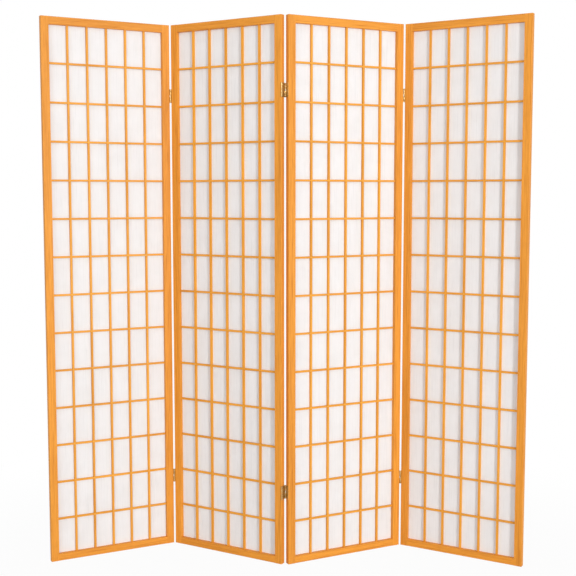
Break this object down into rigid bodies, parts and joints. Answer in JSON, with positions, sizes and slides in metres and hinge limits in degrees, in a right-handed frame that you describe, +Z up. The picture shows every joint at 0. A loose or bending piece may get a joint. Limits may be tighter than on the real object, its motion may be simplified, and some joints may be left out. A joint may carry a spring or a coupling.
{
  "type": "folding shoji screen",
  "caption": "Folding shoji room divider: tall hinged wooden panels, each a thin lattice backed by white paper, standing in a zigzag on hinges that fold either way.",
  "frame": {"origin": "on the floor, under the middle of the box round the standing screen", "axes": "+Z up, the lattice side faces -Y, +X runs from panel 1 to panel 4"},
  "size_m": [1.569, 0.2314, 1.784],
  "materials": {
    "frame_wood": "satin",
    "lattice_wood": "satin",
    "shoji_paper": "matte",
    "hinge_brass": "satin"
  },
  "bodies": {
    "panel_1": {"panel_1_left_stile": "frame_wood", "panel_1_right_stile": "frame_wood", "panel_1_top_rail": "frame_wood", "panel_1_bottom_rail": "frame_wood", "panel_1_uprights": "lattice_wood", "panel_1_crossbars": "lattice_wood", "panel_1_paper": "shoji_paper", "hinges_1_2_left_leaves": "hinge_brass"},
    "link_1_2": {"hinges_1_2_middle_leaves": "hinge_brass", "hinges_1_2_front_pins": "hinge_brass", "hinges_1_2_back_pins": "hinge_brass"},
    "panel_2": {"panel_2_left_stile": "frame_wood", "panel_2_right_stile": "frame_wood", "panel_2_top_rail": "frame_wood", "panel_2_bottom_rail": "frame_wood", "panel_2_uprights": "lattice_wood", "panel_2_crossbars": "lattice_wood", "panel_2_paper": "shoji_paper", "hinges_1_2_right_leaves": "hinge_brass", "hinges_2_3_left_leaves": "hinge_brass"},
    "link_2_3": {"hinges_2_3_middle_leaves": "hinge_brass", "hinges_2_3_front_pins": "hinge_brass", "hinges_2_3_back_pins": "hinge_brass"},
    "panel_3": {"panel_3_left_stile": "frame_wood", "panel_3_right_stile": "frame_wood", "panel_3_top_rail": "frame_wood", "panel_3_bottom_rail": "frame_wood", "panel_3_uprights": "lattice_wood", "panel_3_crossbars": "lattice_wood", "panel_3_paper": "shoji_paper", "hinges_2_3_right_leaves": "hinge_brass", "hinges_3_4_left_leaves": "hinge_brass"},
    "link_3_4": {"hinges_3_4_middle_leaves": "hinge_brass", "hinges_3_4_front_pins": "hinge_brass", "hinges_3_4_back_pins": "hinge_brass"},
    "panel_4": {"panel_4_left_stile": "frame_wood", "panel_4_right_stile": "frame_wood", "panel_4_top_rail": "frame_wood", "panel_4_bottom_rail": "frame_wood", "panel_4_uprights": "lattice_wood", "panel_4_crossbars": "lattice_wood", "panel_4_paper": "shoji_paper", "hinges_3_4_right_leaves": "hinge_brass"}
  },
  "joints": [
    {"name": "fold_1_2_back", "type": "hinge", "parent": "panel_2", "child": "link_1_2", "pos_m": [-0.38352, 0.11352, 0], "axis": [0, 0, 1], "range_deg": [-180, 0]},
    {"name": "fold_1_2_front", "type": "hinge", "parent": "link_1_2", "child": "panel_1", "pos_m": [-0.39373, 0.09471, 0], "axis": [0, 0, 1], "range_deg": [-57, 123]},
    {"name": "fold_2_3_front", "type": "hinge", "parent": "panel_2", "child": "link_2_3", "pos_m": [-0.01021, -0.11352, 0], "axis": [0, 0, 1], "range_deg": [-180, 0]},
    {"name": "fold_2_3_back", "type": "hinge", "parent": "link_2_3", "child": "panel_3", "pos_m": [0, -0.09471, 0], "axis": [0, 0, 1], "range_deg": [-57, 123]},
    {"name": "fold_3_4_front", "type": "hinge", "parent": "panel_3", "child": "link_3_4", "pos_m": [0.39373, 0.09471, 0], "axis": [0, 0, -1], "range_deg": [-57, 123]},
    {"name": "fold_3_4_back", "type": "hinge", "parent": "link_3_4", "child": "panel_4", "pos_m": [0.40394, 0.11352, 0], "axis": [0, 0, -1], "range_deg": [-180, 0]}
  ]
}
